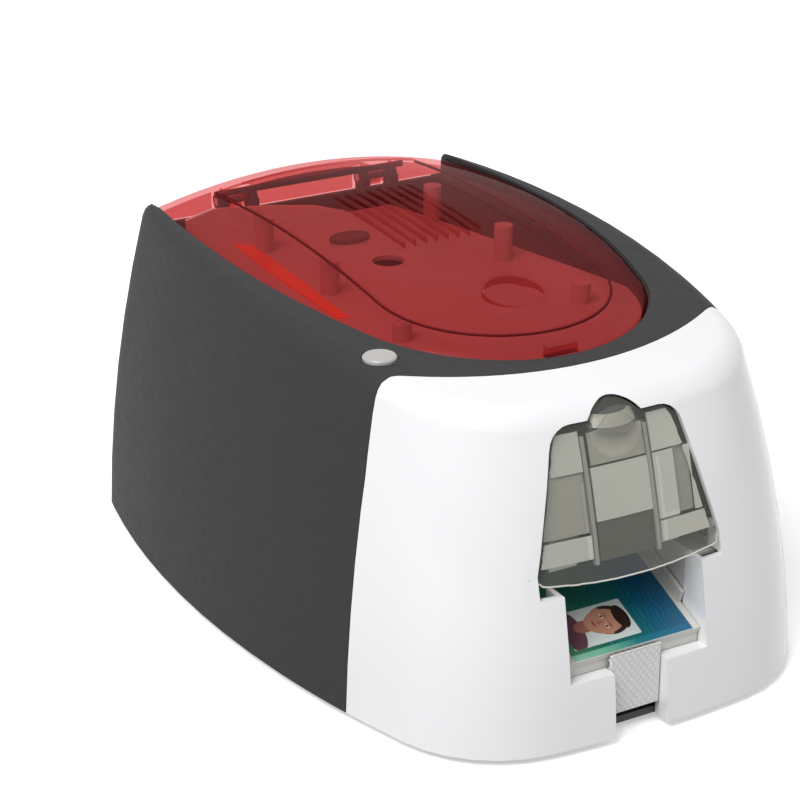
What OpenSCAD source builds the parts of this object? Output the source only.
// Desktop ID card printer, built as its separate mouldings, plates, rollers, gears and boards.
// Millimetres. +Z up, the feeder mouth faces -Y, the origin is on the table under the middle.

/* [Body shell] */
// Width of the body at the floor
body_w = 226; // [222:1:232]
// Length of the body, front to rear
body_d = 292; // [288:1:300]
// Height of the rubber feet
foot_h = 3; // [2:0.5:4]
// Wall thickness of the outer mouldings
wall = 2.5; // [2:0.25:3]
// How far each side wall leans in at the reference height
side_lean = 20.6; // [18:0.2:22]
// How far the front leans back at the reference height
front_lean = 30; // [27:0.5:32]
// Plan radius of the side walls
side_r = 482; // [470:2:520]
// Plan radius of the front
front_r = 400; // [380:5:440]
// Plan radius of the front corners
corner_r = 52; // [48:1:56]
// Radius of the edge between the walls and the deck, at the front
edge_r = 8; // [6:0.5:9]
// The same radius at the rear
edge_rear_r = 4.5; // [4:0.25:5]
// Highest point of the deck above the table
deck_top_h = 144; // [143:0.5:146]
// Side view radius of the deck
deck_r = 1667; // [1500:10:1900]
// Width of the deck left on each side of the lid, from the floor's outline inwards
deck_border = 34; // [33:0.5:36]
// Gap along the seams between mouldings
seam_gap = 0.4; // [0.3:0.1:0.6]

/* [Lid] */
// How much smaller the radius of the lid's tip is than its half width
lid_tip_in = 12.2; // [11.5:0.1:13]
// Rise of the lid's top over the deck's
lid_rise = 10.5; // [10:0.1:11.5]
// Side view radius of the lid
lid_long_r = 629; // [600:1:680]
// Cross radius of the lid
lid_cross_r = 280; // [275:1:300]
// Thickness of the lid
lid_t = 2.5; // [2:0.25:2.75]
// Radius of the lid's rounded edge
lid_edge_r = 2.5; // [1.5:0.25:2.75]
// Gap round the lid
lid_gap = 0.8; // [0.6:0.1:1]
// Height of the raised panel on the lid
panel_step = 1.2; // [0.8:0.1:1.5]
// Half width of the raised panel
panel_half_w = 50; // [48:1:54]
// Number of cooling slots in the lid
lid_slots = 8; // [6:1:9]
// Spacing of the cooling slots
slot_pitch = 5.2; // [5:0.1:6]
// Radius of the finger ring on the lid
finger_ring_r = 13; // [11:0.5:14]

/* [Feeder] */
// Sideways place of the feeder's middle
feeder_x = -6; // [-8:0.5:-4]
// Half width of the smoked cover at its foot
cover_half_w = 40; // [39:0.5:41]
// Half width of the smoked cover at its top
cover_top_half_w = 29; // [28:0.5:31]
// Drop of the smoked cover's foot under the card path
cover_foot_drop = 18; // [17.5:0.25:19]
// Drop of the smoked cover's top edge under the deck
cover_top_drop = 20; // [19:0.5:22]
// Radius of the finger hood at the cover's top
dish_r = 14; // [13:0.5:15]
// Thickness of the smoked cover
cover_t = 2.2; // [2:0.1:2.4]
// Gap round the smoked cover
cover_gap = 0.8; // [0.7:0.1:1]
// Half width of the output opening
mouth_half_w = 31; // [30.5:0.25:32]
// Height of the output ledges
ledge_z = 29.5; // [27:0.5:31]
// Half width of the thumb notch
notch_half_w = 12; // [11:0.5:14]

/* [Card] */
// Long side of an ID-1 card
card_l = 85.6; // [85:0.1:86]
// Short side of an ID-1 card
card_w = 54; // [53.5:0.1:54.2]
// Thickness of a card
card_t = 0.8; // [0.7:0.05:0.9]
// Drop of the card path under the deck's top
path_drop = 57; // [56:0.25:58]
// Height of the printed card's front edge
tray_front_z = 36; // [35:0.25:37]

/* [Drive] */
// Gear module
gear_m = 1; // [1:0.01:1.02]
// Teeth on each roller's gear
roller_teeth = 30; // [29, 30]
// Teeth on the idler between the pick and feed rollers
front_idler_teeth = 16; // [16, 17]
// Teeth on the idler between the feed and platen rollers
rear_idler_teeth = 20; // [20, 21]
// Teeth on each motor pinion
pinion_teeth = 12; // [12, 13]
// Teeth on the ribbon take-up gear
takeup_teeth = 24; // [24, 25]
// Width of the gears
gear_w = 5; // [4:0.25:6]
// Backlash at the pitch circle
backlash = 0.24; // [0.2:0.02:0.3]
// Radius of the rubber rollers
roller_r = 7; // [6.8:0.05:7.1]
// Radius of the roller shafts
shaft_r = 3; // [2.75:0.05:3.1]
// Running clearance of shafts in their bores
run = 0.05; // [0.03:0.01:0.08]
// Half distance between the side plates
plate_half = 36; // [35.75:0.05:36.5]
// Thickness of the side plates
plate_t = 1.5; // [1.25:0.05:1.75]

/* [Ribbon] */
// Rise of the ribbon spools over the card path
spool_rise = 25; // [24.5:0.25:26]
// Radius of the full supply roll
supply_r = 14; // [12:0.5:14.5]
// Radius of the take-up roll
takeup_r = 10; // [8:0.5:10.5]
// Radius of the spool cores
core_r = 6.5; // [6:0.1:7]
// Width of the ribbon
ribbon_w = 58; // [56:0.5:60]

/* [Push button] */
// Radius of the push button
button_r = 6.75; // [6:0.25:7]
// Travel of the push button
button_travel = 1.2; // [0.8:0.1:1.5]

/* [Hidden] */
$fn = 48;
eps = 0.01;
big = 400;

// ---- the body's form -------------------------------------------------------------------------
rear_y = body_d / 2;
half_w = body_w / 2;
lean_start = 0.25;              // share of a lean that is already there in the straight part
lean_h = deck_top_h - 13;       // height over which the leans are measured
wide_y = rear_y - 106;          // where the body is widest
rear_r = 5;                     // plan radius of the rear corners
deck_top_y = rear_y - 59.5;     // where the deck is highest
lid_half_w = half_w - deck_border;
lid_tip_r = lid_half_w - lid_tip_in;
lid_top_h = deck_top_h + lid_rise;
path_z = deck_top_h - path_drop;
spool_z = path_z + spool_rise;
cover_z0 = path_z - cover_foot_drop;
cover_z1 = deck_top_h - cover_top_drop;
button_at = [43 - half_w, 91 - rear_y];

function deck_z(y) = deck_top_h - (y - deck_top_y) * (y - deck_top_y) / (2 * deck_r);
function lean(z, total) = let (t = (z - foot_h) / lean_h) total * (lean_start * t + (1 - lean_start) * t * t);
function front_y(z) = -body_d / 2 + lean(z, front_lean);
function unit(a) = [cos(a), sin(a)];
function angle_of(v) = atan2(v[1], v[0]);
function mirrored(half) =
    concat(half, [for (i = [len(half) - 1:-1:1]) [for (k = [0:len(half[i]) - 1]) k == 0 ? -half[i][0] : half[i][k]]]);

// Where two circles meet, on the side that the front corners are on
function circles_meet(a, ra, b, rb) =
    let (d = norm(b - a), u = (b - a) / d, m = (d * d + ra * ra - rb * rb) / (2 * d))
    a + m * u + sqrt(ra * ra - m * m) * [-u[1], u[0]];

// ---- the lid's outline -------------------------------------------------------------------------
lid_tip_y = 63.9 - rear_y;      // front tip of the lid
lid_top_y = rear_y - 79.6;      // where the lid is highest
lid_wide_y = rear_y - 83;       // where the lid is widest
lid_rear_r = 564;
tip_steps = 12;
flank_a_steps = 5;
flank_b_steps = 4;

// Half outline of the lid in plan, moved out by g, up to y1: tip, side and rear flank as tangent arcs
function lid_half(g, y1) =
    let (
        tip = [0, lid_tip_y + lid_tip_r],
        lid_side_r = (pow(lid_half_w, 2) + pow(lid_wide_y - tip[1], 2) - pow(lid_tip_r, 2)) / 2 / lid_tip_in,
        side = [lid_half_w - lid_side_r, lid_wide_y],
        turn = angle_of(tip - side),
        rear = [side[0] + lid_side_r - lid_rear_r, lid_wide_y],
        rear_a = asin((y1 - lid_wide_y) / (lid_rear_r + g))
    )
    concat(
        [for (i = [0:tip_steps]) tip + (lid_tip_r + g) * unit(-90 + (turn + 90) * i / tip_steps)],
        [for (i = [1:flank_a_steps]) side + (lid_side_r + g) * unit(turn * (1 - i / flank_a_steps))],
        [for (i = [1:flank_b_steps]) rear + (lid_rear_r + g) * unit(rear_a * i / flank_b_steps)]
    );

// ---- the body's loft ---------------------------------------------------------------------------
hole_y1 = rear_y - 12;          // rear end of the lid's opening in the loft, before the rear cut
hole = lid_half(lid_gap, hole_y1);
front_steps = 5;
corner_steps = 6;
rear_steps = 2;
tip_i = front_steps + corner_steps;
hole_steps = len(hole) - 1;
half_points = tip_i + hole_steps + rear_steps + 2;
ring_points = 2 * half_points - 1;
wall_levels = 6;
edge_levels = 4;
levels = wall_levels + edge_levels + 1;

// Plan outline at height z, moved in by e, on +X: front arc, corner arc up to the lid's tip, then the
// places beside the points of the lid's opening, and the rear corner
function rim(i, z, e) =
    let (
        f = [0, front_y(z) + front_r],
        s = [half_w - lean(z, side_lean) - side_r, wide_y],
        c = circles_meet(f, front_r - corner_r, s, side_r - corner_r),
        a_front = angle_of(c - f),
        a_side = angle_of(c - s),
        rc = corner_r - e,
        turn_y = c[1] + rc * sin(a_side),
        a_end = turn_y < hole[0][1] ? a_side : asin((hole[0][1] - c[1]) / rc)
    )
    i <= front_steps ? f + (front_r - e) * unit(-90 + (a_front + 90) * i / front_steps)
    : i <= tip_i ? c + rc * unit(a_front + (a_end - a_front) * (i - front_steps) / corner_steps)
    : i <= tip_i + hole_steps ? let (y = hole[i - tip_i][1])
        [y < turn_y ? c[0] + sqrt(rc * rc - pow(y - c[1], 2)) : s[0] + sqrt(pow(side_r - e, 2) - pow(y - s[1], 2)), y]
    : let (
        re = max(rear_r - e, 0.5),
        dy = rear_y - e - re - s[1],
        r = s + [sqrt(pow(side_r - e - re, 2) - dy * dy), dy],
        a_rear = angle_of(r - s)
    ) r + re * unit(a_rear + (90 - a_rear) * (i - tip_i - hole_steps - 1) / rear_steps);

// Height and inset of level k over a place at y, in the form moved in by e
function edge_at(y) = edge_rear_r + (edge_r - edge_rear_r) * (rear_y - y) / body_d;
function turn_at(k) = 90 * (k - wall_levels) / edge_levels;
function level_z(k, y, e, z0) =
    let (top = deck_z(y) - e, r = edge_at(y) - e)
    k <= wall_levels ? z0 + (top - r - z0) * k / wall_levels : top - r * (1 - sin(turn_at(k)));
function level_inset(k, y, e) = k <= wall_levels ? e : e + (edge_at(y) - e) * (1 - cos(turn_at(k)));
function form_point(i, k, e, z0) =
    let (
        y0 = rim(i, deck_top_h * k / levels, e)[1],
        y1 = rim(i, level_z(k, y0, e, z0), level_inset(k, y0, e))[1],
        z = level_z(k, y1, e, z0),
        p = rim(i, z, level_inset(k, y1, e))
    )
    [p[0], p[1], z];
function form_points(e, z0) =
    [for (k = [0:levels - 1]) each mirrored([for (i = [0:half_points - 1]) form_point(i, k, e, z0)])];

// Triangles between the rings that start at points a and b, of n points each
function band(a, b, n) =
    [for (i = [0:n - 1]) let (j = (i + 1) % n) each [[a + i, b + j, a + j], [a + i, b + i, b + j]]];
function form_sides() = [for (k = [0:levels - 2]) each band(k * ring_points, (k + 1) * ring_points, ring_points)];
function other(i, n) = i == 0 ? 0 : n - i;
// Strips across a ring between its points i and i + 1 and their mirror images, facing down
function strips(at, i0, i1) =
    [for (i = [i0:i1 - 1]) let (a = at + i, b = at + i + 1, c = at + other(i + 1, ring_points), d = at + other(i, ring_points))
        each i == 0 ? [[a, b, c]] : [[a, b, c], [a, c, d]]];
function flipped(faces, by = 0) = [for (f = faces) [f[0] + by, f[2] + by, f[1] + by]];

// The body as one solid loft of plan outlines, moved in by e, from z0 up to the deck
module outer_form(e, z0) {
    top = (levels - 1) * ring_points;
    polyhedron(form_points(e, z0),
        concat(form_sides(), strips(0, 0, half_points - 1), flipped(strips(top, 0, half_points - 1))));
}

// Triangles of the deck between the top ring at r and the lid's opening at h, facing down
function deck_faces(r, h) =
    let (
        n = ring_points,
        m = 2 * hole_steps + 1,
        t = tip_i,
        q = tip_i + hole_steps,
        front = [[r + t - 1, h, r + n - t + 1], [r + t - 1, r + t, h], [r + n - t + 1, h, r + n - t]],
        right = [for (i = [0:hole_steps - 1]) each [[r + t + i, r + t + i + 1, h + i], [h + i, r + t + i + 1, h + i + 1]]],
        left = [for (i = [0:hole_steps - 1]) let (a = r + n - t - i, u = h + other(i, m), v = h + other(i + 1, m))
            each [[a, u, a - 1], [u, v, a - 1]]],
        hr = h + hole_steps,
        hl = h + m - hole_steps,
        rear = [[r + q, r + q + 1, hr], [hr, r + q + 1, r + n - q - 1], [hr, r + n - q - 1, hl],
            [hl, r + n - q - 1, r + n - q]]
    )
    concat(strips(r, 0, t - 1), front, right, left, rear, strips(r, q + 1, half_points - 1));

// The walls and deck as one thin loft, open below and open where the lid goes
module shell_form() {
    n = ring_points;
    one = levels * n;
    m = 2 * hole_steps + 1;
    top = (levels - 1) * n;
    rim_out = mirrored([for (p = hole) [p[0], p[1], deck_z(p[1])]]);
    rim_in = mirrored([for (p = hole) [p[0], p[1], deck_z(p[1]) - wall]]);
    points = concat(form_points(0, foot_h), form_points(wall, foot_h), rim_out, rim_in);
    polyhedron(points, concat(
        form_sides(),
        flipped(form_sides(), one),
        flipped(band(0, one, n)),
        flipped(deck_faces(top, 2 * one)),
        deck_faces(one + top, 2 * one + m),
        flipped(band(2 * one, 2 * one + m, m))
    ));
}

// ---- the card's way ----------------------------------------------------------------------------
slack = 0.6;                                       // play of a card in its guides
lane = card_w / 2 + 0.4;                           // inner half width of the guides
hopper_h = 22;                                     // height of the stack that the hopper takes
hopper_y0 = front_y(path_z + hopper_h) + lane * lane / (2 * front_r) + cover_t + 1.2;   // front of the stack
gate_y = hopper_y0 + card_l + slack;               // rear wall of the hopper
pick_y = gate_y - 21.4;
roller_gear_r = gear_m * roller_teeth / 2;
front_idler_r = gear_m * front_idler_teeth / 2;
rear_idler_r = gear_m * rear_idler_teeth / 2;
pinion_r = gear_m * pinion_teeth / 2;
takeup_gear_r = gear_m * takeup_teeth / 2;
feed_y = pick_y + 2 * (roller_gear_r + front_idler_r);
platen_y = feed_y + 2 * (roller_gear_r + rear_idler_r);
roller_z = path_z - roller_r;
card_front_y = front_y(tray_front_z) + 4.6;
nip_y = feed_y - 2;
tray_slope = atan((path_z - tray_front_z) / (nip_y - card_front_y));
floor_t = 2.5;                                     // thickness of the hopper's floor and the guide
plate_out = plate_half + plate_t;
gear_x0 = plate_out + 1.1;                         // inner face of the gears on the right plate
gear_x1 = gear_x0 + gear_w;
plate_y0 = pick_y - 14;
plate_y1 = platen_y + 48;
plate_z0 = foot_h + 3 + 0.2;
plate_z1 = spool_z + 10.7;
takeup_y = feed_y + 6;
supply_y = platen_y + 34;
film_z = path_z + 1;                               // height of the film over the platen
hub_r = 5;                                         // radius of the spool hubs
cleaner_r = 6;
cleaner_z = path_z + 0.35 + cleaner_r;
nip = 0.35;                                        // rest gap under the cleaning roller

// ---- the lid and its hinge ---------------------------------------------------------------------
lid_rear_y = rear_y - 1;
hinge_y = rear_y - 7;
hinge_z = deck_top_h - 4;
hinge_x = 36;
knuckle_r = 3.6;
knuckle_w = 10;
ear_w = 4.2;
pin_r = 2;
skirt_t = 2;
skirt_z = deck_top_h - 14;                         // lower edge of the lid's side skirt
rear_skirt_z = deck_top_h - 10.2;
panel_top_z = deck_top_h - 11.8;                   // top of the rear panel
deck_floor_z = deck_top_h - 19;                    // top of the inner deck's floor
deck_floor_t = 2;
carrier_z = deck_top_h - 12;                       // top of the print head carrier's plate

// ---- small helpers -----------------------------------------------------------------------------
module at_feeder() { translate([feeder_x, 0, 0]) children(); }
module block(a, b) { translate(a) cube(b - a); }
module rod_x(r, x0, x1, y, z) { translate([x0, y, z]) rotate([0, 90, 0]) cylinder(r = r, h = x1 - x0); }
module tube_x(r, bore, x0, x1, y, z) {
    difference() {
        rod_x(r, x0, x1, y, z);
        rod_x(bore, x0 - 1, x1 + 1, y, z);
    }
}
module post(r, bore, at, z0, z1) {
    translate([at[0], at[1], z0]) difference() {
        cylinder(r = r, h = z1 - z0);
        translate([0, 0, -1]) cylinder(r = bore, h = z1 - z0 + 2);
    }
}

// ---- gears -------------------------------------------------------------------------------------
pressure_angle = 25;
addendum = 0.8 * gear_m;
dedendum = 1.05 * gear_m;
flank_steps = 3;
function inv(a) = tan(a) * 180 / PI - a;

// Outline of a spur gear with involute flanks; tooth 0 points along +X
module gear_outline(teeth) {
    pitch_r = gear_m * teeth / 2;
    base_r = pitch_r * cos(pressure_angle);
    root_r = pitch_r - dedendum;
    tip_r = pitch_r + addendum;
    start_r = max(base_r, root_r);
    half_tooth = 90 / teeth - backlash / 2 / pitch_r * 180 / PI / 2;
    flank = [for (i = [0:flank_steps]) let (
            r = start_r + (tip_r - start_r) * i / flank_steps,
            a = half_tooth + inv(pressure_angle) - inv(acos(base_r / r))
        ) [r, a]];
    root_a = flank[0][1];
    polygon([for (t = [0:teeth - 1]) let (mid = 360 * t / teeth) each concat(
        [root_r * unit(mid - root_a - 0.1)],
        [for (f = flank) f[0] * unit(mid - f[1])],
        [for (i = [flank_steps:-1:0]) flank[i][0] * unit(mid + flank[i][1])],
        [root_r * unit(mid + root_a + 0.1)]
    )]);
}

// A gear on an axis along X, from x0 to x1, turned by phase
module gear_x(teeth, phase, bore, x0, x1, y, z, hub = 0) {
    difference() {
        union() {
            translate([x0, y, z]) rotate([90, 0, 90]) rotate([0, 0, phase])
                linear_extrude(height = x1 - x0) gear_outline(teeth);
            if (hub > 0) rod_x(hub, x0 - 0.6, x0 + 1, y, z);
        }
        rod_x(bore, x0 - 2, x1 + 1, y, z);
    }
}

// Phase of a gear with z2 teeth that meshes at direction th with one of z1 teeth at phase a
function mesh_phase(a, z1, z2, th) = th + 180 - (a - th) * z1 / z2 - 180 / z2;

motor_dir = -60;                                   // where the feed pinion sits round the platen gear
feed_motor_y = platen_y + (roller_gear_r + pinion_r) * cos(motor_dir);
feed_motor_z = roller_z + (roller_gear_r + pinion_r) * sin(motor_dir);
ribbon_dir = 210;                                  // where the ribbon pinion sits round the take-up gear
ribbon_motor_y = takeup_y + (takeup_gear_r + pinion_r) * cos(ribbon_dir);
ribbon_motor_z = spool_z + (takeup_gear_r + pinion_r) * sin(ribbon_dir);
platen_phase = 0;
rear_idler_phase = mesh_phase(platen_phase, roller_teeth, rear_idler_teeth, 180);
feed_phase = mesh_phase(rear_idler_phase, rear_idler_teeth, roller_teeth, 180);
front_idler_phase = mesh_phase(feed_phase, roller_teeth, front_idler_teeth, 180);
pick_phase = mesh_phase(front_idler_phase, front_idler_teeth, roller_teeth, 180);
feed_pinion_phase = mesh_phase(platen_phase, roller_teeth, pinion_teeth, motor_dir);
ribbon_pinion_phase = mesh_phase(0, takeup_teeth, pinion_teeth, ribbon_dir);
front_idler_y = pick_y + roller_gear_r + front_idler_r;
rear_idler_y = feed_y + roller_gear_r + rear_idler_r;

// ---- outer mouldings ---------------------------------------------------------------------------
seam_side_y = 67.65 - rear_y;                      // where the seam meets the floor on each side
seam_apex_y = 54.5 - rear_y;                       // the seam's foremost point on the deck
seam_arc_r = 135;
seam_corner = [half_w - 36, 79 - rear_y];          // corner of the seam between deck and side

// Plan of everything in front of the seam, moved forward by gap
module seam_plan(gap) {
    centre = [0, seam_apex_y + seam_arc_r];
    arc = [for (a = [0:3:30]) centre + (seam_arc_r + gap) * unit(-90 + a)];
    from = centre + (seam_arc_r + gap) * unit(-acos((seam_corner[0] - 7.5) / seam_arc_r));
    to = [seam_corner[0] + 10, seam_side_y + 4.15 - gap];
    bend = [for (t = [0:0.25:1]) pow(1 - t, 2) * from + 2 * t * (1 - t) * seam_corner + t * t * to];
    polygon(mirrored(concat(arc, bend, [[half_w - 14, seam_side_y - gap], [half_w + 6, seam_side_y - 5 - gap],
        [half_w + 6, -body_d]])));
}
module seam_prism(gap) {
    translate([0, 0, -1]) linear_extrude(height = deck_top_h + 20) seam_plan(gap);
}

module lid_plan(g) { polygon(mirrored(lid_half(g, lid_rear_y + g))); }
// The lid's plan ring moved out by g, with places along the straight rear edge too
rear_places = 7;
function lid_ring(g) =
    let (h = lid_half(g, lid_rear_y + g), e = h[len(h) - 1])
    mirrored(concat(h, [for (i = [1:rear_places]) [e[0] * (1 - 2 * i / (2 * rear_places + 1)), e[1]]]));

// The lid's outline as a solid whose upper edge is rounded where it meets the crown
module lid_form() {
    turns = [0, 20, 40, 60, 75];
    rings = concat(
        [[for (p = lid_ring(0)) [p[0], p[1], skirt_z]]],
        [for (a = turns) [for (p = lid_ring(-lid_edge_r * (1 - cos(a))))
            [p[0], p[1], lid_z(p[0], p[1]) - lid_edge_r * (1 - sin(a))]]],
        [[for (p = lid_ring(-lid_edge_r * 1.1)) [p[0], p[1], lid_z(p[0], p[1]) + lid_edge_r * 0.05]]],
        [[for (p = lid_ring(-lid_edge_r * 1.1)) [p[0], p[1], lid_top_h + 5]]]
    );
    n = len(rings[0]);
    last = len(rings) - 1;
    polyhedron([for (r = rings) each r], concat(
        [[for (i = [0:n - 1]) i]],
        [for (k = [0:last - 1]) each band(k * n, (k + 1) * n, n)],
        [[for (i = [n - 1:-1:0]) last * n + i]]
    ));
}
module lid_prism(g, z0, z1) { translate([0, 0, z0]) linear_extrude(height = z1 - z0) lid_plan(g); }

// Everything under the lid's crowned surface, moved down by e
module under_lid(e) {
    across = 2 * (lid_half_w + 12);
    translate([0, lid_top_y, lid_top_h - lid_long_r]) rotate([90, 0, 90]) rotate([0, 0, 60])
        rotate_extrude(angle = 60, $fn = 360) rotate([0, 0, 90])
            intersection() {
                translate([0, -(lid_long_r - lid_cross_r)]) circle(r = lid_cross_r - e, $fn = 180);
                translate([-across / 2, -lid_long_r - 2]) square([across, 90]);
            }
}

// Everything under the deck's surface, moved down by e
module under_deck(e) {
    translate([-big / 2, deck_top_y, deck_top_h - deck_r]) rotate([0, 90, 0])
        cylinder(r = deck_r - e, h = big, $fn = 720);
}

boss_at = [[half_w - 11.5, rear_y - 46], [half_w - 12, 116 - rear_y]];   // screw bosses of the shell, on +X
boss_r = 5;
boss_bore = 1.6;
screw_r = 1.5;

module body_shell() color([0.28, 0.27, 0.27]) {
    difference() {
        shell_form();
        seam_prism(-seam_gap);
        rear_opening();
        translate([button_at[0], button_at[1], deck_floor_z]) cylinder(r = button_r + 0.35, h = 40);
    }
    shell_bosses();
    button_posts();
}
module shell_bosses() {
    for (side = [-1, 1]) for (b = boss_at) post(boss_r, boss_bore, [side * b[0], b[1]], foot_h + 3.3, 26);
}
rear_open_w = half_w - 43;                         // half width of the rear opening
rear_open_z = 11;
module rear_opening() {
    block([-rear_open_w, rear_y - wall - 2, rear_open_z], [rear_open_w, rear_y + 2, panel_top_z + 0.5]);
    lid_w = hole[hole_steps][0] + 0.1;
    block([-lid_w, hole_y1 - 1, panel_top_z + 0.4], [lid_w, rear_y + 2, deck_top_h + 20]);
}

// The white front moulding with its feeder and output openings
module front_fascia() color([0.93, 0.93, 0.94]) {
    difference() {
        intersection() {
            outer_form(0, foot_h);
            seam_prism(0);
        }
        difference() {
            outer_form(wall, -2);
            at_feeder() fascia_returns();
        }
        at_feeder() {
            cover_prism(cover_gap);
            mouth_cut();
            for (side = [-1, 1])
                rod_x(cover_pin_r + run, side * 42.6 - 2.2, side * 42.6 + 2.2, cover_axis_y, cover_axis_z);
        }
    }
}
return_t = 2;                                      // thickness of the opening's returns
return_y = card_front_y + 1.2;                     // how far back the ledges reach
module fascia_returns() {
    front = -rear_y - 5;
    for (side = [-1, 1]) {
        x0 = side * (mouth_half_w + return_t / 2);
        block([x0 - return_t / 2, front, ledge_z - return_t], [x0 + return_t / 2, card_front_y + 12, cover_z0 - 5]);
        x1 = side * (notch_half_w + mouth_half_w + return_t) / 2;
        half = (mouth_half_w + return_t - notch_half_w) / 2;
        block([x1 - half, front, ledge_z - return_t], [x1 + half, return_y, ledge_z]);
        x2 = side * (notch_half_w + return_t / 2);
        block([x2 - return_t / 2, front, foot_h], [x2 + return_t / 2, return_y, ledge_z]);
        x3 = side * 43;
        block([x3 - 1.6, front, cover_z0 - 5], [x3 + 1.6, cover_axis_y + 4.5, cover_z0 + 6]);
    }
}
module mouth_cut() {
    front = -rear_y - 20;
    block([-mouth_half_w, front, ledge_z], [mouth_half_w, card_front_y + 13, cover_z0 - 5 + eps]);
    block([-notch_half_w, front, -1], [notch_half_w, return_y + 5, ledge_z + 1]);
    block([-cover_half_w - cover_gap, front, cover_z0 - 5], [cover_half_w + cover_gap, card_front_y + 13, cover_z0 + 4]);
}

// ---- the smoked feeder cover -------------------------------------------------------------------
cover_axis_z = cover_z0 + 3;
cover_axis_y = front_y(cover_axis_z) + 5.5;
cover_pin_r = 1.5;
cover_corner_r = 9;
cover_sag = 3;                                     // how far the foot's middle hangs below its ends
channel_half = 17;                                 // half width of the cover's middle channel

// Face-on outline of the smoked cover, moved out by g
module cover_plan(g) {
    slant = atan((cover_half_w - cover_top_half_w) / (cover_z1 - cover_z0));
    c = [cover_top_half_w - cover_corner_r, cover_z1 - cover_corner_r];
    foot = [for (t = [-1:0.2:1]) [t * (cover_half_w + g), cover_z0 - g - cover_sag * (1 - t * t)]];
    right = concat([[cover_half_w + g, cover_z0 + 4]],
        [for (a = [slant:(90 - slant) / 5:90]) c + (cover_corner_r + g) * unit(a)]);
    n = len(right);
    polygon(concat(foot, right, [for (i = [n - 1:-1:0]) [-right[i][0], right[i][1]]]));
    translate([0, cover_z1 - 8]) circle(r = dish_r + g);
}
module cover_prism(g) {
    translate([0, -body_d / 3, 0]) rotate([90, 0, 0]) linear_extrude(height = body_d / 2) cover_plan(g);
}
rib_t = 1.8;
rib_y = hopper_y0 - 2.6;                           // how far back the cover's ribs reach
module feeder_cover() color([0.6, 0.6, 0.58, 0.6]) {
    difference() {
        intersection() {
            outer_form(0, foot_h);
            at_feeder() cover_prism(0);
        }
        difference() {
            outer_form(cover_t, -2);
            at_feeder() cover_ribs();
        }
        at_feeder() dish(0);
    }
    at_feeder() finger_hood();
    at_feeder() for (side = [-1, 1])
        rod_x(cover_pin_r, min(side * 38, side * 44.4), max(side * 38, side * 44.4), cover_axis_y, cover_axis_z);
}
module cover_ribs() {
    front = -rear_y - 5;
    for (side = [-1, 1]) {
        block([side * channel_half - rib_t / 2, front, cover_axis_z + 2],
            [side * channel_half + rib_t / 2, rib_y, cover_z1 - 12]);
        xm = side * (channel_half + cover_top_half_w + 2) / 2;
        for (z = [cover_z0 + 14, cover_z1 - 20])
            block([xm - 7.5, front, z], [xm + 7.5, rib_y - 2, z + rib_t]);
        block([side * 38 - 1.2, front, cover_z0 + 0.5], [side * 38 + 1.2, cover_axis_y + 3, cover_z0 + 7]);
    }
    dish(cover_t);
}

// The finger hood stands out of the cover's top; its lip is straight and the dish lies under it
hood_z = cover_z1 - 8;                             // middle of the hood's round outline
lip_z = cover_z1 - 3;                              // the hood's lip
hood_ball = 18;
dish_deep = 1.8;
dish_half = 12.6;                                  // half width of the dish at the lip
dish_ball = (dish_half * dish_half + dish_deep * dish_deep) / 2 / dish_deep;
front_tilt = atan((front_y(lip_z + 5) - front_y(lip_z - 5)) / 10);
// A ball whose centre stands d in front of the face at height z
module face_ball(r, d, z) {
    translate([0, front_y(z) - d * cos(front_tilt), z + d * sin(front_tilt)]) sphere(r = r);
}
module dish(g) {
    intersection() {
        face_ball(dish_ball + g, dish_ball - dish_deep, lip_z);
        block([-dish_r, -body_d, lip_z - 30], [dish_r, 0, lip_z]);
    }
}
module finger_hood() {
    d = -sqrt(hood_ball * hood_ball - pow(dish_r - 0.6, 2));
    difference() {
        intersection() {
            face_ball(hood_ball, d, hood_z);
            block([-dish_r, -body_d, lip_z], [dish_r, front_y(lip_z) + cover_t, lip_z + 20]);
            cover_prism(0);
        }
        intersection() {
            face_ball(hood_ball - cover_t, d, hood_z);
            block([-dish_r, -body_d, lip_z - 1], [dish_r, 0, lip_z + 20]);
        }
    }
}

module rear_panel() color([0.2, 0.2, 0.21]) {
    difference() {
        union() {
            block([-rear_open_w + seam_gap, rear_y - wall, rear_open_z + seam_gap],
                [rear_open_w - seam_gap, rear_y, panel_top_z]);
            for (at = board_screw_at) translate([at[0], board_rear_y, at[1]]) rotate([-90, 0, 0])
                cylinder(r = 3, h = rear_y - wall - board_rear_y + 0.5);
        }
        for (at = board_screw_at) translate([at[0], board_rear_y - 1, at[1]]) rotate([-90, 0, 0])
            cylinder(r = boss_bore, h = 9);
        for (i = [-7:7]) for (z = [panel_top_z - 55.5, panel_top_z - 35.5])
            block([i * 7 - 1.5, rear_y - wall - 1, z], [i * 7 + 1.5, rear_y + 1, z + 14]);
        for (s = [[jack_x, 4.5], [usb_x, 6]])
            block([s[0] - s[1] - 0.3, rear_y - wall - 1, socket_z - 0.3],
                [s[0] + s[1] + 0.3, rear_y + 1, socket_z + socket_h + 0.3]);
        block([rear_open_w - 23.5, rear_y - wall - 1, 30], [rear_open_w - 16.5, rear_y + 1, 33.2]);
    }
}

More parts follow.
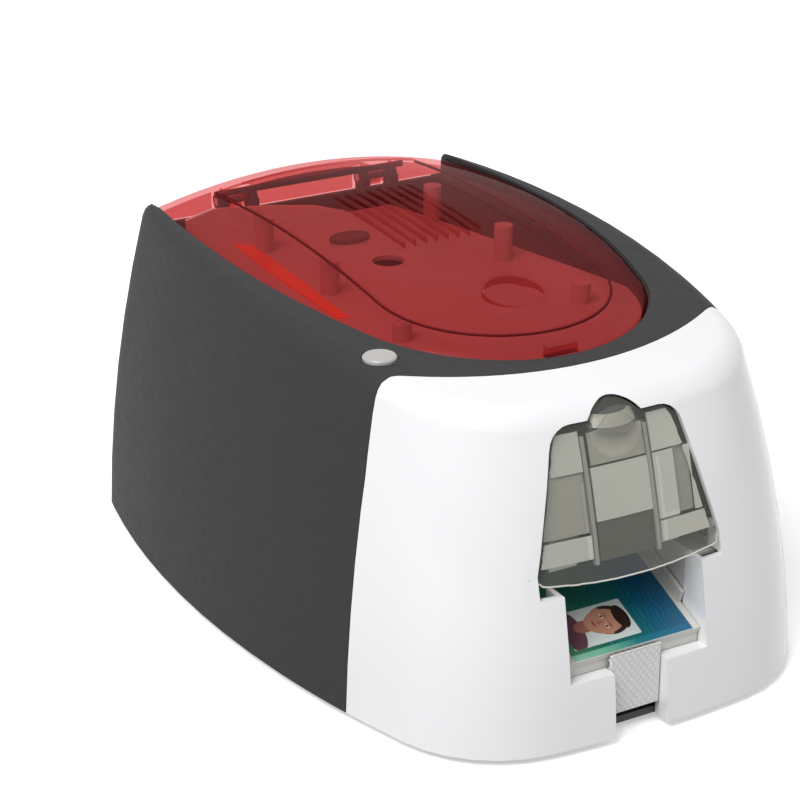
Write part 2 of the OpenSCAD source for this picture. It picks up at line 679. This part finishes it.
// ---- base --------------------------------------------------------------------------------------
base_t = 3;
foot_at = [[half_w - 33, rear_y - 34], [half_w - 39, 54 - rear_y]];
foot_r = 9;
module base_plan() { polygon(mirrored([for (i = [0:half_points - 1]) rim(i, foot_h, wall + seam_gap)])); }
module base_tray() color([0.16, 0.16, 0.17]) {
    difference() {
        union() {
            translate([0, 0, foot_h]) linear_extrude(height = base_t) base_plan();
            at_feeder() for (side = [-1, 1])
                block([side * (plate_out + 6) - 5, plate_y0 + 10, foot_h + base_t - eps],
                    [side * (plate_out + 6) + 5, plate_y1 - 10, foot_h + base_t + eps]);
        }
        at_feeder() block([-notch_half_w - return_t - seam_gap, -body_d, 0],
            [notch_half_w + return_t + seam_gap, return_y + seam_gap, 20]);
        for (side = [-1, 1]) for (b = boss_at) translate([side * b[0], b[1], 0]) {
            cylinder(r = screw_r + 0.1, h = 20);
            cylinder(r = 3.4, h = foot_h + 1.6);
        }
        for (i = [-4:4]) block([feeder_x + i * 6 - 1.5, platen_y - 20, 0], [feeder_x + i * 6 + 1.5, platen_y + 20, 20]);
    }
}
module rubber_feet() color([0.1, 0.1, 0.1]) {
    for (side = [-1, 1]) for (f = foot_at) translate([side * f[0], f[1], 0]) cylinder(r = foot_r, h = foot_h);
}
module case_screws() color([0.5, 0.5, 0.5]) {
    for (side = [-1, 1]) for (b = boss_at) translate([side * b[0], b[1], foot_h]) {
        cylinder(r = 3.2, h = 1.5);
        cylinder(r = screw_r, h = 16);
    }
}

// ---- inner deck under the lid ------------------------------------------------------------------
bay_y0 = takeup_y - takeup_r - 6;
bay_y1 = supply_y + supply_r + 4;
bay_half = plate_half - 0.2;
module inner_deck() color([0.22, 0.22, 0.23]) {
    difference() {
        union() {
            intersection() {
                union() {
                    lid_prism(lid_gap + 1.6, deck_floor_z - deck_floor_t, deck_floor_z);
                    difference() {
                        lid_prism(lid_gap + 1.6, deck_floor_z - eps, deck_top_h);
                        lid_prism(lid_gap + 0.2, deck_floor_z - 1, deck_top_h + 1);
                    }
                }
                under_deck(wall + 0.5);
                block([-big, -big, 0], [big, rear_y - wall - 1.2, big]);
            }
            hinge_ears();
        }
        at_feeder() block([-bay_half, bay_y0, 0], [bay_half, bay_y1, deck_floor_z + 1]);
        catch_hole();
        for (side = [-1, 1]) ear_bores(side);
    }
}
module hinge_ears() {
    for (side = [-1, 1]) for (x = ear_x(side)) {
        rod_x(knuckle_r, x - ear_w / 2, x + ear_w / 2, hinge_y, hinge_z);
        block([x - ear_w / 2, hinge_y - 5, deck_floor_z - eps], [x + ear_w / 2, hinge_y + 2, hinge_z]);
    }
}
function ear_x(side) = [for (s = [-1, 1]) side * hinge_x + s * (knuckle_w / 2 + ear_w / 2 + 0.3)];
module ear_bores(side) {
    rod_x(pin_r + 0.01, side * hinge_x - 15, side * hinge_x + 15, hinge_y, hinge_z);
}
module hinge_pins() color([0.75, 0.75, 0.76]) {
    half = knuckle_w / 2 + ear_w + 0.5;
    for (side = [-1, 1]) rod_x(pin_r, side * hinge_x - half, side * hinge_x + half, hinge_y, hinge_z);
}
catch_y = lid_tip_y + 9;
module catch_hole() { block([-9, catch_y - 3.5, 100], [9, catch_y + 3.5, deck_floor_z + 1]); }
module lid_catch() color([0.75, 0.75, 0.76]) {
    for (s = [-1, 1]) block([-8, catch_y + s * 2.4 - 0.4, deck_floor_z - 9], [8, catch_y + s * 2.4 + 0.4, deck_floor_z]);
    block([-8, catch_y - 2.8, deck_floor_z - 9.8], [8, catch_y + 2.8, deck_floor_z - 9]);
    for (s = [-1, 1]) block([-8, catch_y + s * 4.4 - 2.4, deck_floor_z], [8, catch_y + s * 4.4 + 2.4, deck_floor_z + 0.8]);
}

// ---- the red lid -------------------------------------------------------------------------------
module lid_cover() color([0.75, 0.05, 0.08, 0.6]) {
    difference() {
        union() {
            difference() {
                intersection() {
                    lid_form();
                    under_lid(0);
                }
                intersection() {
                    lid_prism(-skirt_t, skirt_z - 1, lid_top_h + 5);
                    under_lid(lid_t);
                }
                block([-big, lid_rear_y - 6, 0], [big, rear_y + 2, rear_skirt_z]);
            }
            intersection() {
                translate([0, 0, skirt_z]) linear_extrude(height = 40) panel_plan();
                under_lid(-panel_step);
                difference() {
                    lid_prism(0, skirt_z, lid_top_h + 5);
                    under_lid(lid_t - 0.5);
                }
            }
            lid_knuckles();
            translate([-7, catch_y - 1.4, deck_floor_z - 6]) cube([14, 2.8, lid_z(0, catch_y) - deck_floor_z + 4]);
        }
        lid_slot_cuts();
        finger_ring();
        for (side = [-1, 1]) {
            rod_x(pin_r + run, side * hinge_x - 6, side * hinge_x + 6, hinge_y, hinge_z);
            for (x = ear_x(side))
                block([x - ear_w / 2 - 0.5, hinge_y + 2.5, 120], [x + ear_w / 2 + 0.5, rear_y + 2, hinge_z + knuckle_r + 0.6]);
        }
    }
}
function lid_z(x, y) = lid_top_h - x * x / (2 * lid_cross_r) - (y - lid_top_y) * (y - lid_top_y) / (2 * lid_long_r);
// Lowest height of the lid's surface over a circle of radius r
function lid_low(x, y, r) = lid_z(abs(x) + r, y < lid_top_y ? y - r : y + r);
module panel_plan() {
    tip_y = lid_tip_y + 14.1;
    c = tip_y + panel_half_w;
    polygon(concat([for (a = [0:7.5:180]) [panel_half_w * cos(180 + a), c + panel_half_w * sin(180 + a)]],
        [[panel_half_w, rear_y - 16], [-panel_half_w, rear_y - 16]]));
}
slot_y0 = lid_wide_y - 45;
slot_y1 = lid_wide_y + 13;
module lid_slot_cuts() {
    for (i = [0:lid_slots - 1]) {
        x = (i - (lid_slots - 1) / 2) * slot_pitch;
        block([x - 1, slot_y0, lid_top_h - 14], [x + 1, slot_y1, lid_top_h + 8]);
        for (y = [slot_y0, slot_y1]) translate([x, y, lid_top_h - 14]) cylinder(r = 1, h = 22, $fn = 24);
    }
}
ring_y = lid_tip_y + 43.1;                         // middle of the finger ring
module finger_ring() {
    translate([0, ring_y, lid_z(0, ring_y) - 1.2]) difference() {
        cylinder(r = finger_ring_r, h = 10);
        cylinder(r = finger_ring_r - 1.2, h = 10);
    }
}
module lid_knuckles() {
    for (side = [-1, 1]) {
        rod_x(knuckle_r, side * hinge_x - knuckle_w / 2, side * hinge_x + knuckle_w / 2, hinge_y, hinge_z);
        block([side * hinge_x - knuckle_w / 2, hinge_y - 4, hinge_z],
            [side * hinge_x + knuckle_w / 2, hinge_y + 4, lid_z(hinge_x, hinge_y) - 1.5]);
    }
}

// ---- print head, carried under the lid ---------------------------------------------------------
head_y0 = platen_y - 6;
head_y1 = platen_y + 8;
arm_x = ribbon_w / 2 + 3;
head_z = film_z + 0.6;
module head_carrier() color([0.78, 0.78, 0.79]) {
    difference() {
        union() {
            intersection() {
                lid_prism(-skirt_t - 0.3, carrier_z - 2, carrier_z);
                translate([0, 0, carrier_z - 3]) linear_extrude(height = 4)
                    polygon([[-half_w, lid_tip_y - 8], [half_w, lid_tip_y - 8], [half_w - 45, lid_tip_y + 40],
                        [half_w - 53, lid_wide_y - 65], [half_w - 71, lid_wide_y + 17], [half_w - 81, rear_y - 28],
                        [-half_w, rear_y - 28]]);
            }
            at_feeder() for (side = [-1, 1]) {
                block([side * (arm_x + 1.2) - 1.2, head_y0 - 2, head_z + 4], [side * (arm_x + 1.2) + 1.2, head_y1 + 4, carrier_z - 1]);
            }
            for (x = [feeder_x - 40, 38]) for (y = [lid_tip_y + 52, lid_wide_y - 33, rear_y - 56])
                translate([x, y, carrier_z - eps]) cylinder(r = 4, h = lid_low(x, y, 4) - lid_t - 0.2 - carrier_z);
        }
        at_feeder() for (side = [-1, 1]) rod_x(1.52, side * (arm_x + 1) - 5, side * (arm_x + 1) + 5, platen_y + 3, head_z + 8);
        at_feeder() translate([0, platen_y + 12, carrier_z - 5]) cylinder(r = 7, h = 10);
        block([-7.5, catch_y - 1.9, carrier_z - 3], [7.5, catch_y + 1.9, carrier_z + 1]);
    }
}
module print_head() color([0.7, 0.7, 0.72]) {
    at_feeder() difference() {
        union() {
            block([-arm_x + 0.4, head_y0, head_z + 3], [arm_x - 0.4, head_y1, head_z + 12]);
            block([-ribbon_w / 2, platen_y - 3, head_z + 1.2], [ribbon_w / 2, platen_y + 3, head_z + 3 + eps]);
            rod_x(1.6, -ribbon_w / 2, ribbon_w / 2, platen_y, head_z + 1.6);
        }
        rod_x(1.52, -arm_x - 1, arm_x + 1, platen_y + 3, head_z + 8);
    }
}
module head_heatsink() color([0.35, 0.36, 0.38]) {
    z0 = head_z + 12;
    at_feeder() {
        block([-arm_x + 1, head_y0, z0], [arm_x - 1, head_y1, z0 + 3]);
        for (i = [0:4]) {
            y = head_y0 + 1 + i * 3;
            block([-arm_x + 1, y - 0.6, z0 + 3 - eps], [arm_x - 1, y + 0.6, z0 + 13]);
        }
    }
}
module head_pins() color([0.75, 0.75, 0.76]) {
    at_feeder() rod_x(1.5, -arm_x - 3, arm_x + 3, platen_y + 3, head_z + 8);
}

// ---- chassis plates ----------------------------------------------------------------------------
bush_out = 5;
rod_at = [[pick_y - 4, path_z - 47], [platen_y + 10, path_z - 57], [platen_y + 38, path_z - 25]];
cleaner_pin = 2;
module plate_outline() {
    translate([plate_y0, plate_z0]) square([plate_y1 - plate_y0, 34]);
    polygon([[plate_y0, plate_z0 + 30], [plate_y1, plate_z0 + 30], [plate_y1, plate_z1], [takeup_y - 16, plate_z1],
        [takeup_y - 16, path_z + 8], [plate_y0, path_z + 4]]);
}
module side_plate(side) {
    x0 = side < 0 ? -plate_out : plate_half;
    difference() {
        union() {
            translate([x0, 0, 0]) rotate([90, 0, 90]) linear_extrude(height = plate_t) plate_outline();
            block([side < 0 ? -plate_out - 10 : plate_half, plate_y0 + 12, plate_z0],
                [side < 0 ? -plate_half : plate_out + 10, plate_y1 - 12, plate_z0 + plate_t]);
        }
        for (y = [pick_y, feed_y, platen_y]) rod_x(bush_out + 0.02, x0 - 1, x0 + 3, y, roller_z);
        rod_x(cleaner_pin + run, x0 - 1, x0 + 3, feed_y, cleaner_z);
        rod_x(flap_pin_r + run, x0 - 1, x0 + 3, flap_y, flap_z);
        for (y = [takeup_y, supply_y]) {
            rod_x(hub_r + run, x0 - 1, x0 + 3, y, spool_z);
            block([x0 - 1, y - hub_r - run, spool_z], [x0 + 3, y + hub_r + run, plate_z1 + 1]);
        }
        for (r = rod_at) rod_x(1.6, x0 - 1, x0 + 3, r[0], r[1]);
        if (side > 0) {
            rod_x(3.5, x0 - 1, x0 + 3, feed_motor_y, feed_motor_z);
            for (y = [front_idler_y, rear_idler_y]) rod_x(axle_r + 0.02, x0 - 1, x0 + 3, y, roller_z);
        } else {
            rod_x(3.5, x0 - 1, x0 + 3, ribbon_motor_y, ribbon_motor_z);
        }
        for (y = foot_screw_y) translate([side * (plate_out + 6), y, plate_z0 - 1]) cylinder(r = 1.7, h = 5);
    }
}
foot_screw_y = [plate_y0 + 20, plate_y1 - 20];
module side_plate_left() color([0.72, 0.73, 0.74]) at_feeder() side_plate(-1);
module side_plate_right() color([0.72, 0.73, 0.74]) at_feeder() side_plate(1);
module tie_rods() color([0.6, 0.6, 0.62]) {
    at_feeder() for (r = rod_at) tube_x(3, 1.3, -plate_half, plate_half, r[0], r[1]);
}
module plate_screws() color([0.5, 0.5, 0.5]) {
    at_feeder() for (side = [-1, 1]) {
        for (r = rod_at) {
            x = side * plate_out;
            rod_x(2.8, min(x, x + side * 1.4), max(x, x + side * 1.4), r[0], r[1]);
            rod_x(1.25, min(x, x - side * 9), max(x, x - side * 9), r[0], r[1]);
        }
        for (y = foot_screw_y) translate([side * (plate_out + 6), y, plate_z0 + plate_t]) cylinder(r = 2.8, h = 1.4);
    }
}
module shaft_bushes() color([0.8, 0.62, 0.3]) {
    at_feeder() for (side = [-1, 1]) for (y = [pick_y, feed_y, platen_y]) {
        a = side * (plate_half - 1);
        b = side * plate_half;
        c = side * (plate_out + 0.5);
        tube_x(bush_out + 1.5, shaft_r + run, min(a, b), max(a, b), y, roller_z);
        tube_x(bush_out, shaft_r + run, min(b, c), max(b, c), y, roller_z);
    }
}
axle_r = 2.5;
module idler_axles() color([0.75, 0.75, 0.76]) {
    at_feeder() for (y = [front_idler_y, rear_idler_y]) {
        rod_x(axle_r, plate_half, gear_x1 + 0.3, y, roller_z);
        rod_x(axle_r + 1.2, gear_x1 + 0.3, gear_x1 + 1.1, y, roller_z);
        rod_x(axle_r + 1.2, plate_out, gear_x0 - 0.3, y, roller_z);
    }
}

// ---- card path ---------------------------------------------------------------------------------
module card_guide() color([0.3, 0.3, 0.32]) {
    z1 = path_z - 0.3;
    z0 = z1 - floor_t;
    y0 = feed_y - roller_r - 0.8;
    y1 = platen_y + card_l + 2;
    at_feeder() difference() {
        union() {
            block([-plate_half + 0.2, y0, z0], [plate_half - 0.2, plate_y1 - 4, z1]);
            block([-lane - 3, y0, z0], [lane + 3, y1, z1]);
            for (side = [-1, 1]) {
                x = side * (lane + 1);
                block([x - 1, feed_y + 14, z1 - eps], [x + 1, platen_y - 10, z1 + 3]);
                block([x - 1, platen_y + 14, z1 - eps], [x + 1, y1, z1 + 3]);
            }
        }
        for (y = [feed_y, platen_y])
            block([-card_w / 2 + 0.4, y - roller_r - 0.6, z0 - 1], [card_w / 2 - 0.4, y + roller_r + 0.6, z1 + 1]);
        for (side = [-1, 1]) for (y = [feed_y, platen_y])
            block([side * 31.8 - 5, y - bush_out - 2.2, z0 - 1], [side * 31.8 + 5, y + bush_out + 2.2, z1 + 1 - 1.2]);
        block([-6, y1 - 30, z0 - 1], [6, y1 - 24, z1 + 1]);
    }
}
module card_hopper() color([0.82, 0.82, 0.8]) {
    z0 = path_z - floor_t;
    z1 = path_z + hopper_h;
    side_t = 2.2;
    y0 = hopper_y0 - 0.3;
    at_feeder() difference() {
        union() {
            block([-lane - side_t, y0, z0], [lane + side_t, gate_y + 2, path_z]);
            for (side = [-1, 1]) {
                x = side * (lane + side_t / 2);
                block([x - side_t / 2, y0, z0], [x + side_t / 2, gate_y + 2, z1]);
                xr = side * (lane + side_t + plate_half - 0.2) / 2;
                half = (plate_half - 0.2 - lane - side_t) / 2 + eps;
                for (y = [plate_y0 + 3, gate_y - 4]) block([xr - half, y, z0], [xr + half, y + 2, path_z + 4]);
                xf = side * (channel_half + lane + side_t) / 2;
                hf = (lane + side_t - channel_half) / 2;
                block([xf - hf, y0 - 1.6, cover_z0 - 1], [xf + hf, y0, path_z]);
            }
            block([-lane - side_t, gate_y, path_z + 1.1], [lane + side_t, gate_y + 2, z1]);
        }
        block([-pick_w / 2 - 0.8, pick_y - roller_r - 0.8, z0 - 1], [pick_w / 2 + 0.8, pick_y + roller_r + 0.8, path_z + 1]);
        for (side = [-1, 1]) block([side * (lane + 1.1) - 2, pick_y - 16, path_z + 3],
            [side * (lane + 1.1) + 2, pick_y - 10, z1 + 1]);
    }
}
pick_w = 22;
module weight_plate() color([0.35, 0.35, 0.37]) {
    z = path_z + 0.4;
    at_feeder() {
        block([-lane + 1, hopper_y0 + 24, z], [lane - 1, gate_y - 4, z + 2]);
        block([-12, pick_y - 15, z + 2 - eps], [12, pick_y + 9, z + 5]);
        for (side = [-1, 1]) block([side * (lane + 0.2) - 1.6, pick_y - 15.5, z + 3 - eps], [side * (lane + 0.2) + 1.6, pick_y - 10.5, z + 5]);
        block([-lane + 0.6, pick_y - 15.5, z + 3 - eps], [lane - 0.6, pick_y - 10.5, z + 5]);
        for (side = [-1, 1]) block([side * (lane - 2) - 1, pick_y - 15.5, z + 1.5], [side * (lane - 2) + 1, pick_y - 10.5, z + 4]);
    }
}

flap_y = gate_y + 4.6;
flap_z = path_z - 3.2;
flap_pin_r = 1.5;
flap_l = 11.8;
flap_rise = 26;
module exit_flap() color([0.25, 0.25, 0.26]) {
    at_feeder() {
        rod_x(flap_pin_r, -plate_out + 0.1, plate_out - 0.1, flap_y, flap_z);
        for (x = [-20, -7, 7, 20]) {
            translate([x - 5, flap_y, flap_z]) rotate([flap_rise, 0, 0]) translate([0, 0, -0.7]) cube([10, flap_l, 1.4]);
            rod_x(2.2, x - 5, x + 5, flap_y, flap_z);
        }
    }
}

// Printed card lying in the tray, its front edge at the output mouth
module on_slope() { translate([0, card_front_y, tray_front_z]) rotate([tray_slope, 0, 0]) children(); }
module printed_card() color([0.1, 0.5, 0.55]) {
    at_feeder() on_slope() difference() {
        translate([-card_w / 2, 0, 0.1]) cube([card_w, card_l, card_t]);
        for (x = [-1, 1]) for (y = [0, 1]) translate([x * card_w / 2, y * card_l, -1]) rotate([0, 0, 45]) cube(2.4, center = true);
    }
}
module output_tray() color([0.9, 0.9, 0.9]) {
    ramp_l = (feed_y - roller_r - 2.4 - card_front_y) / cos(tray_slope);
    tray_half = mouth_half_w - 0.4;
    rail_l0 = 14;
    rail_l1 = (flap_y - 4.5 - card_front_y) / cos(tray_slope);
    at_feeder() {
        on_slope() {
            translate([-tray_half, 0, -2.2]) cube([2 * tray_half, ramp_l, 2.2]);
            for (side = [-1, 1]) translate([side * (tray_half - 0.8) - 0.8, rail_l0, -2.2]) cube([1.6, rail_l1 - rail_l0, 8]);
        }
        difference() {
            block([-tray_half, card_front_y + 1.5, 9], [tray_half, card_front_y + 3.5, tray_front_z - 1]);
            on_slope() translate([-50, -20, 0]) cube([100, 60, 30]);
        }
        for (side = [-1, 1]) block([side * 24 - 1, card_front_y + 3, foot_h + base_t + 0.2], [side * 24 + 1, card_front_y + 30, tray_front_z - 0.5]);
    }
}

// ---- rollers and gears -------------------------------------------------------------------------
module roller_shaft(y) { rod_x(shaft_r, -plate_out - 1.5, gear_x1 + 1, y, roller_z); }
module roller_tyre(y, half) { tube_x(roller_r, shaft_r, -half, half, y, roller_z); }
module pick_shaft() color([0.75, 0.75, 0.76]) at_feeder() roller_shaft(pick_y);
module feed_shaft() color([0.75, 0.75, 0.76]) at_feeder() roller_shaft(feed_y);
module platen_shaft() color([0.75, 0.75, 0.76]) at_feeder() roller_shaft(platen_y);
module pick_tyre() color([0.15, 0.15, 0.15]) at_feeder() roller_tyre(pick_y, pick_w / 2);
module feed_tyre() color([0.15, 0.15, 0.15]) at_feeder() roller_tyre(feed_y, card_w / 2 - 1);
module platen_tyre() color([0.15, 0.15, 0.15]) at_feeder() roller_tyre(platen_y, card_w / 2 - 1);
module roller_gear(y, phase) { at_feeder() gear_x(roller_teeth, phase, shaft_r, gear_x0, gear_x1, y, roller_z); }
module pick_gear() color([0.9, 0.9, 0.85]) roller_gear(pick_y, pick_phase);
module feed_gear() color([0.9, 0.9, 0.85]) roller_gear(feed_y, feed_phase);
module platen_gear() color([0.9, 0.9, 0.85]) roller_gear(platen_y, platen_phase);
module front_idler() color([0.85, 0.85, 0.8]) at_feeder()
    gear_x(front_idler_teeth, front_idler_phase, axle_r + run, gear_x0, gear_x1, front_idler_y, roller_z);
module rear_idler() color([0.85, 0.85, 0.8]) at_feeder()
    gear_x(rear_idler_teeth, rear_idler_phase, axle_r + run, gear_x0, gear_x1, rear_idler_y, roller_z);
module cleaning_roller() color([0.35, 0.6, 0.85]) at_feeder() {
    rod_x(cleaner_r, -card_w / 2 + 1, card_w / 2 - 1, feed_y, cleaner_z);
    rod_x(cleaner_pin, -plate_out + 0.1, plate_out - 0.1, feed_y, cleaner_z);
}
motor_r = 13;
motor_l = 20;
module motor_can(r, x0, x1, y, z) {
    difference() {
        rod_x(r, x0, x1, y, z);
        rod_x(1.5 + run, x0 - 1, x1 + 1, y, z);
    }
}
module feed_motor() color([0.55, 0.55, 0.57]) at_feeder()
    motor_can(motor_r, plate_half - motor_l, plate_half, feed_motor_y, feed_motor_z);
module ribbon_motor() color([0.55, 0.55, 0.57]) at_feeder()
    motor_can(11, -plate_out - motor_l, -plate_out, ribbon_motor_y, ribbon_motor_z);
module feed_pinion() color([0.85, 0.7, 0.35]) at_feeder() {
    gear_x(pinion_teeth, feed_pinion_phase, 1, gear_x0, gear_x1, feed_motor_y, feed_motor_z);
    rod_x(1.5, plate_half - motor_l + 4, gear_x1 + 0.8, feed_motor_y, feed_motor_z);
}
spool_gear_x = -plate_half + 0.6;
module ribbon_pinion() color([0.85, 0.7, 0.35]) at_feeder() {
    gear_x(pinion_teeth, ribbon_pinion_phase, 1, spool_gear_x, spool_gear_x + 3, ribbon_motor_y, ribbon_motor_z);
    rod_x(1.5, -plate_out - motor_l + 4, spool_gear_x + 3.4, ribbon_motor_y, ribbon_motor_z);
}

// ---- ribbon ------------------------------------------------------------------------------------
module spool_core(y, x0) {
    tube_x(core_r, 3.5, x0, ribbon_w / 2 + 2, y, spool_z);
    tube_x(hub_r, 3.5, x0 - (plate_out + x0) - 1, x0 + eps, y, spool_z);
    tube_x(hub_r, 3.5, ribbon_w / 2 + 2 - eps, plate_out + 1, y, spool_z);
}
module supply_core() color([0.85, 0.85, 0.8]) at_feeder() spool_core(supply_y, -ribbon_w / 2 - 2);
module takeup_core() color([0.85, 0.85, 0.8]) at_feeder() spool_core(takeup_y, -ribbon_w / 2 - 2);
module supply_roll() color([0.1, 0.08, 0.1]) at_feeder() tube_x(supply_r, core_r, -ribbon_w / 2, ribbon_w / 2, supply_y, spool_z);
module takeup_roll() color([0.1, 0.08, 0.1]) at_feeder() tube_x(takeup_r, core_r, -ribbon_w / 2, ribbon_w / 2, takeup_y, spool_z);
module takeup_gear() color([0.9, 0.9, 0.85]) at_feeder()
    gear_x(takeup_teeth, 0, hub_r, spool_gear_x, spool_gear_x + 3, takeup_y, spool_z);

// Where the film from point p touches a roll of radius r at c, on its underside
function film_angle(p, c, r) =
    let (d = norm(c - p)) atan2(c[1] - p[1], abs(c[0] - p[0])) - asin(r / d);
module film_run(c, r) {
    p = [platen_y, film_z];
    a = film_angle(p, c, r + 0.25);
    s = c[0] > p[0] ? 1 : -1;
    l = sqrt(pow(norm(c - p), 2) - pow(r + 0.25, 2));
    translate([-ribbon_w / 2, p[0], p[1]]) rotate([s * a, 0, 0]) translate([0, s > 0 ? 0 : -l, 0]) cube([ribbon_w, l, 0.3]);
}
module ribbon_film() color([0.1, 0.08, 0.1]) at_feeder() {
    film_run([takeup_y, spool_z], takeup_r + 0.3);
    film_run([supply_y, spool_z], supply_r + 0.3);
}

// ---- electronics -------------------------------------------------------------------------------
board_t = 1.6;
board_w = 84;
board_h = 42;
board_x0 = -rear_open_w + 2;
board_x1 = board_x0 + board_w;
board_z0 = rear_open_z + 3;
board_rear_y = rear_y - 16.8;                      // the face that the sockets and bosses stand on
board_front_y = board_rear_y - board_t;
board_screw_at = [for (x = [board_x0 + 5, board_x1 - 5]) for (z = [board_z0 + 5, board_z0 + board_h - 5]) [x, z]];
jack_x = board_x0 + 16;
usb_x = board_x0 + 34;
socket_z = board_z0 + 2;
socket_h = 11;
module rod_y(r, x, y0, y1, z) { translate([x, y0, z]) rotate([-90, 0, 0]) cylinder(r = r, h = y1 - y0); }
module control_board() color([0.05, 0.35, 0.15]) {
    difference() {
        block([board_x0, board_front_y, board_z0], [board_x1, board_rear_y, board_z0 + board_h]);
        for (at = board_screw_at) rod_y(1.7, at[0], board_front_y - 1, board_rear_y + 1, at[1]);
    }
}
module board_chips() color([0.08, 0.08, 0.09]) {
    // Corner, width, height and thickness of each chip on the board's front face
    chips = [[12, 10, 12, 12, 1.6], [33, 8, 14, 10, 1.6], [55, 8, 9, 9, 1.4], [14, 29, 20, 6, 7], [63, 24, 6, 6, 3]];
    for (c = chips) block([board_x0 + c[0], board_front_y - c[4], board_z0 + c[1]],
        [board_x0 + c[0] + c[2], board_front_y, board_z0 + c[1] + c[3]]);
    for (x = [44, 52]) rod_y(3, board_x0 + x, board_front_y - 9, board_front_y, board_z0 + 32);
}
module board_screws() color([0.5, 0.5, 0.5]) {
    for (at = board_screw_at) {
        rod_y(2.8, at[0], board_front_y - 1.5, board_front_y, at[1]);
        rod_y(screw_r, at[0], board_front_y - eps, board_rear_y + 5, at[1]);
    }
}
module power_jack() color([0.06, 0.06, 0.06]) {
    z = socket_z + socket_h / 2;
    difference() {
        block([jack_x - 4.5, board_rear_y, socket_z], [jack_x + 4.5, rear_y - 0.4, socket_z + socket_h]);
        rod_y(3.2, jack_x, rear_y - 10, rear_y + 1, z);
    }
    rod_y(1, jack_x, rear_y - 11, rear_y - 1.5, z);
}
module usb_socket() color([0.75, 0.75, 0.76]) {
    difference() {
        block([usb_x - 6, board_rear_y, socket_z], [usb_x + 6, rear_y - 0.4, socket_z + socket_h]);
        block([usb_x - 4.6, rear_y - 12, socket_z + 1.4], [usb_x + 4.6, rear_y + 1, socket_z + 9.6]);
    }
    block([usb_x - 2.8, rear_y - 12.5, socket_z + 4], [usb_x + 2.8, rear_y - 2, socket_z + 7]);
}

// ---- push button -------------------------------------------------------------------------------
button_board_z = deck_top_h - 26;
button_stem_z = button_board_z + 5.4;
module push_button() color([0.85, 0.85, 0.86]) {
    top = deck_z(button_at[1]) + 0.9;
    translate([button_at[0], button_at[1], 0]) {
        translate([0, 0, top - 3]) cylinder(r = button_r, h = 2.4);
        translate([0, 0, top - 0.6 - eps]) cylinder(r1 = button_r, r2 = button_r - 0.6, h = 0.6);
        translate([0, 0, button_stem_z]) cylinder(r = 2, h = top - 2.5 - button_stem_z);
    }
}
module button_posts() {
    for (s = [-1, 1]) let (at = [button_at[0] + 1.5, button_at[1] + s * 11])
        post(2.2, 0.9, at, button_board_z + 1.8, deck_z(at[1]) - wall + 0.6);
}
module button_board() color([0.05, 0.35, 0.15]) {
    translate([button_at[0], button_at[1], button_board_z]) {
        translate([-4.5, -13.5, 0]) cube([9, 27, 1.6]);
        translate([-3, -3, 1.6 - eps]) cube([6, 6, 2.4]);
    }
}

base_tray();
rubber_feet();
case_screws();
body_shell();
front_fascia();
rear_panel();
inner_deck();
side_plate_left();
side_plate_right();
tie_rods();
plate_screws();
shaft_bushes();
card_guide();
card_hopper();
output_tray();
printed_card();
weight_plate();
exit_flap();
feeder_cover();
control_board();
board_chips();
board_screws();
power_jack();
usb_socket();
feed_motor();
feed_pinion();
ribbon_motor();
ribbon_pinion();
idler_axles();
pick_shaft();
pick_tyre();
pick_gear();
feed_shaft();
feed_tyre();
feed_gear();
platen_shaft();
platen_tyre();
platen_gear();
front_idler();
rear_idler();
cleaning_roller();
supply_core();
supply_roll();
takeup_core();
takeup_roll();
takeup_gear();
ribbon_film();
lid_cover();
head_carrier();
print_head();
head_heatsink();
head_pins();
hinge_pins();
lid_catch();
push_button();
button_board();
